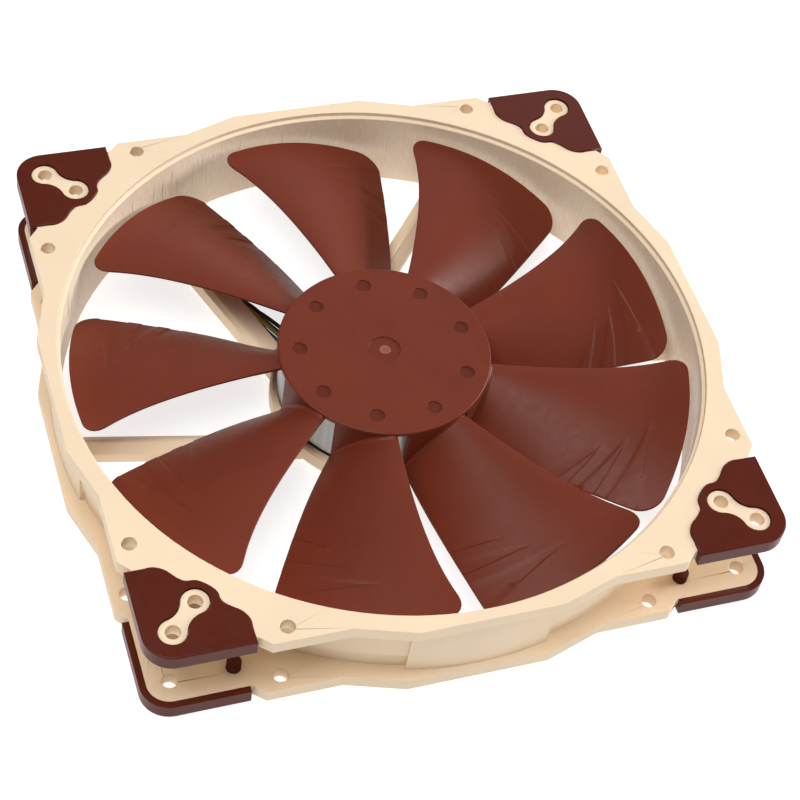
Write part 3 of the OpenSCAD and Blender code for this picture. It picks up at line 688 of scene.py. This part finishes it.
def build_root_wall(turn, steps=28):
    """The wall over a blade's root, up to the disc, with a fillet into the blade's upper face."""
    top_z = Z_HUB_UNDER + 0.5 * MM
    fillet = 1.3 * MM
    inner, outer = CAN_R + 0.03 * MM, CAN_R + 0.9 * MM
    arc_steps = 5
    verts = []
    for i in range(steps + 1):
        s = 0.03 + 0.97 * i / steps
        ring = []
        for r in (inner, outer):
            angle = math.radians(blade_angle(HUB_R, s) + turn)
            ring.append(Vector((r * math.cos(angle), r * math.sin(angle), top_z)))
        for k in range(arc_steps + 1):
            a = math.radians(90 * k / arc_steps)
            r = outer + fillet * (1 - math.cos(a))
            angle_deg = blade_angle(r, s)
            over = blade_z(r, angle_deg) - 0.05 * MM + fillet * (1 - math.sin(a))
            z = min(over, top_z - 0.02 * MM)
            a2 = math.radians(angle_deg + turn)
            ring.append(Vector((r * math.cos(a2), r * math.sin(a2), z)))
        foot = blade_angle(outer + fillet, s)
        for r in (outer + fillet, inner):
            z = min(blade_z(r, foot), top_z) - 0.6 * MM
            a2 = math.radians(blade_angle(r, s) + turn)
            ring.append(Vector((r * math.cos(a2), r * math.sin(a2), z)))
        verts.append(ring)
    n = len(verts[0])
    faces = []
    for i in range(steps):
        for j in range(n):
            k = (j + 1) % n
            faces.append((i * n + j, i * n + k, (i + 1) * n + k, (i + 1) * n + j))
    faces += [tuple(reversed(range(n))), tuple(steps * n + j for j in range(n))]
    return [v for ring in verts for v in ring], faces


def lathe(profile, sides):
    """An open surface turned round the axis from (radius, height) points."""
    verts, faces = [], []
    for k in range(sides):
        a = 2 * math.pi * k / sides
        verts += [Vector((r * math.cos(a), r * math.sin(a), z)) for r, z in profile]
    n = len(profile)
    for k in range(sides):
        m = (k + 1) % sides
        for j in range(n - 1):
            faces.append((k * n + j, m * n + j, m * n + j + 1, k * n + j + 1))
    return verts, faces


def disc_cutter(x, y, radius, low, high, sides=40):
    """The points and faces of an upright closed disc, to cut with."""
    turns = [2 * math.pi * k / sides for k in range(sides)]
    verts = [Vector((x + radius * math.cos(a), y + radius * math.sin(a), z))
             for z in (low, high) for a in turns]
    faces = [(k, (k + 1) % sides, sides + (k + 1) % sides, sides + k) for k in range(sides)]
    return verts, faces + [tuple(reversed(range(sides))), tuple(range(sides, 2 * sides))]


def cut(piece, cutters):
    """Takes each cutter out of the piece."""
    for verts, faces in cutters:
        tool = new_piece("cutter", verts, faces, False)
        step = piece.modifiers.new("cut", "BOOLEAN")
        step.operation = "DIFFERENCE"
        step.solver = "EXACT"
        step.object = tool
        make_active(piece)
        bpy.ops.object.modifier_apply(modifier=step.name)
        bpy.data.objects.remove(tool)


EJECTOR_RING = HUB_R - 6 * MM
EJECTOR_R, EJECTOR_DEPTH = 2.3 * MM, 0.35 * MM
RECESS_R, RECESS_DEPTH = 4.8 * MM, 0.4 * MM


def build_hub():
    """The hub's disc: a rounded rim, an ejector mark for each blade, and the middle recess."""
    edge = HUB_R + 0.6 * MM
    fillet = 0.55 * MM
    turns = [math.radians(a) for a in range(0, 91, 15)]
    arc = [(edge - fillet + fillet * math.cos(a), Z_HUB - fillet + fillet * math.sin(a)) for a in turns]
    n, sides = len(arc) + 1, 180
    verts, faces = lathe([(edge, Z_HUB_UNDER)] + arc, sides)
    faces += [tuple(k * n + n - 1 for k in range(sides)), tuple(k * n for k in reversed(range(sides)))]
    hub = new_piece("impeller_hub", verts, faces)
    marks = []
    for k in range(BLADES):
        a = math.radians(360 / BLADES * k + 8)
        x, y = EJECTOR_RING * math.cos(a), EJECTOR_RING * math.sin(a)
        marks.append(disc_cutter(x, y, EJECTOR_R, Z_HUB - EJECTOR_DEPTH, Z_HUB + 1 * MM))
    marks.append(disc_cutter(0, 0, RECESS_R, Z_HUB - RECESS_DEPTH, Z_HUB + 1 * MM, 64))
    cut(hub, marks)
    rounded(hub, 0.07 * MM, 2, 50)
    finish(hub, "impeller_plastic")
    # Painted shade: the sunk floors of the ejector marks get a darker copy of the impeller's colour.
    hub.data.materials.append(moulded("ejector_mark_painted_shade", shade(BLADE_COLOUR, 0.72), *BLADE_FINISH))
    for polygon in hub.data.polygons:
        away = math.hypot(polygon.center.x, polygon.center.y)
        sunk = polygon.center.z < Z_HUB - 0.05 * MM and polygon.normal.z > 0.9
        if sunk and 10 * MM < away < HUB_R - 3 * MM:
            polygon.material_index = 1
    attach(hub, TURNING)
    return hub


def build_gate():
    """The broken-off sprue in the middle of the hub: a low ring with a rough pit."""
    z = Z_HUB - 0.42 * MM
    profile = [(1.75, 0.0), (1.65, 0.16), (1.45, 0.24), (1.20, 0.22), (1.0, 0.10), (0.7, 0.04),
               (0.35, 0.10), (0.02, 0.12)]
    verts, faces = lathe([(r * MM, z + h * MM) for r, h in profile], 48)
    rng = random.Random(4)
    verts = [v + Vector((0, 0, rng.uniform(-0.02, 0.02) * MM)) for v in verts]
    gate = new_piece("impeller_gate", verts, faces)
    gate.data.materials.append(moulded("gate_mark", (0.25, 0.075, 0.045), 0.5))
    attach(gate, TURNING)


def build_blades():
    """All nine blades and their root walls, as one piece that turns."""
    verts, faces = [], []
    for k in range(BLADES):
        turn = BLADE_PHASE + 360 / BLADES * k
        for more_verts, more_faces in (build_blade(turn), build_root_wall(turn)):
            shift = len(verts)
            verts += more_verts
            faces += [tuple(shift + v for v in face) for face in more_faces]
    blades = new_piece("impeller_blades", verts, faces)
    work = bmesh.new()
    work.from_mesh(blades.data)
    bmesh.ops.remove_doubles(work, verts=work.verts, dist=0.004 * MM)
    bmesh.ops.recalc_face_normals(work, faces=work.faces)
    work.to_mesh(blades.data)
    work.free()
    rounded(blades, 0.22 * MM, 2, 48)
    finish(blades, "impeller_plastic")
    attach(blades, TURNING)
    return blades


blades = build_blades()
hub = build_hub()
build_gate()
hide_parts("impeller")

# ---------- frame and pads ----------

housing = rounded(copy_of("frame", "housing", False), 0.22 * MM, 2, 30)
finish(housing, "frame_plastic")
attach(housing, FIXED)
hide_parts("frame")

DUCT_LOW, DUCT_HIGH = 1.6 * MM, 27.2 * MM
RIB_ROOT = 0.08 * MM


def build_duct_ribs(count=260):
    """Fine upright ribs that the mould left on the duct's inner wall."""
    rng = random.Random(11)
    verts, faces = [], []
    for k in range(count):
        a = 2 * math.pi * (k + rng.uniform(-0.45, 0.45)) / count
        length = rng.uniform(6, 19) * MM
        foot = rng.uniform(DUCT_LOW, DUCT_HIGH - length)
        half = rng.uniform(0.10, 0.26) * MM / BORE_R
        rise = rng.uniform(0.05, 0.15) * MM
        ends = rng.uniform(1.5, 4.0) * MM
        shift = len(verts)
        root, crest = BORE_R + RIB_ROOT, BORE_R - rise
        for turn, r, z in ((-half, root, foot), (half, root, foot),
                           (half, root, foot + length), (-half, root, foot + length),
                           (0, crest, foot + ends), (0, crest, foot + length - ends)):
            verts.append(Vector((r * math.cos(a + turn), r * math.sin(a + turn), z)))
        for face in ((0, 1, 2, 3), (0, 4, 1), (1, 4, 5, 2), (2, 5, 3), (3, 5, 4, 0)):
            faces.append(tuple(shift + v for v in face))
    ribs = finish(new_piece("duct_ribs", verts, faces, False), "frame_plastic")
    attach(ribs, FIXED)


build_duct_ribs()

for side in ("intake", "exhaust"):
    for corner in CORNERS:
        node = f"{side}_pad_{corner}"
        low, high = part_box(node)
        rim = high.z if side == "intake" else low.z
        pad = rounded(copy_of(node, f"{side}_corner_pad_{corner}"), 0.4 * MM, 3, rim=rim)
        finish(pad, "pad_silicone")
        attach(pad, FIXED)
        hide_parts(node)

# ---------- CAD nodes that stay ----------

for row in frame["record"]["subparts"]:
    cad = nodes[row["node"]]
    if not cad.hide_render:
        cad.data.materials.clear()
        cad.data.materials.append(FINISHES[row["material_slot"]])

# ---------- floor, light ----------


def build_stage():
    """A plain white floor that gives off some light, as a lit table does."""
    half = 3.0
    corners = [(-half, -half, 0), (half, -half, 0), (half, half, 0), (-half, half, 0)]
    floor = new_piece("floor", corners, [(0, 1, 2, 3)], False)
    floor.location.z = -0.2 * MM
    material = bpy.data.materials.new("floor")
    material.use_nodes = True
    shader = material.node_tree.nodes["Principled BSDF"]
    shader.inputs["Base Color"].default_value = (0.45, 0.45, 0.45, 1)
    shader.inputs["Roughness"].default_value = 0.9
    shader.inputs["Emission Color"].default_value = (1, 1, 1, 1)
    shader.inputs["Emission Strength"].default_value = 0.76
    floor.data.materials.append(material)


def area_light(name, at, size, power):
    """A soft white light that points at the middle of the fan."""
    data = bpy.data.lights.new(name, "AREA")
    data.shape = "RECTANGLE"
    data.size, data.size_y = size
    data.energy = power
    light = bpy.data.objects.new(name, data)
    light.location = at
    light.rotation_euler = (-Vector(at)).to_track_quat("-Z", "Y").to_euler()
    bpy.context.scene.collection.objects.link(light)


def build_light():
    """A dim white studio, and three soft lights set for the photo's highlights."""
    bpy.context.scene.view_settings.view_transform = "Standard"
    world = bpy.data.worlds.new("studio")
    bpy.context.scene.world = world
    world.use_nodes = True
    world.node_tree.nodes["Background"].inputs["Color"].default_value = (1, 1, 1, 1)
    world.node_tree.nodes["Background"].inputs["Strength"].default_value = 0.2
    area_light("over", (-0.33, -0.15, 1.2), (0.9, 0.9), 13)
    area_light("right", (1.2, 0, 0.33), (0.6, 0.5), 15)
    area_light("behind", (0.5, 0.9, 0.5), (0.6, 0.8), 1.5)


build_stage()
build_light()
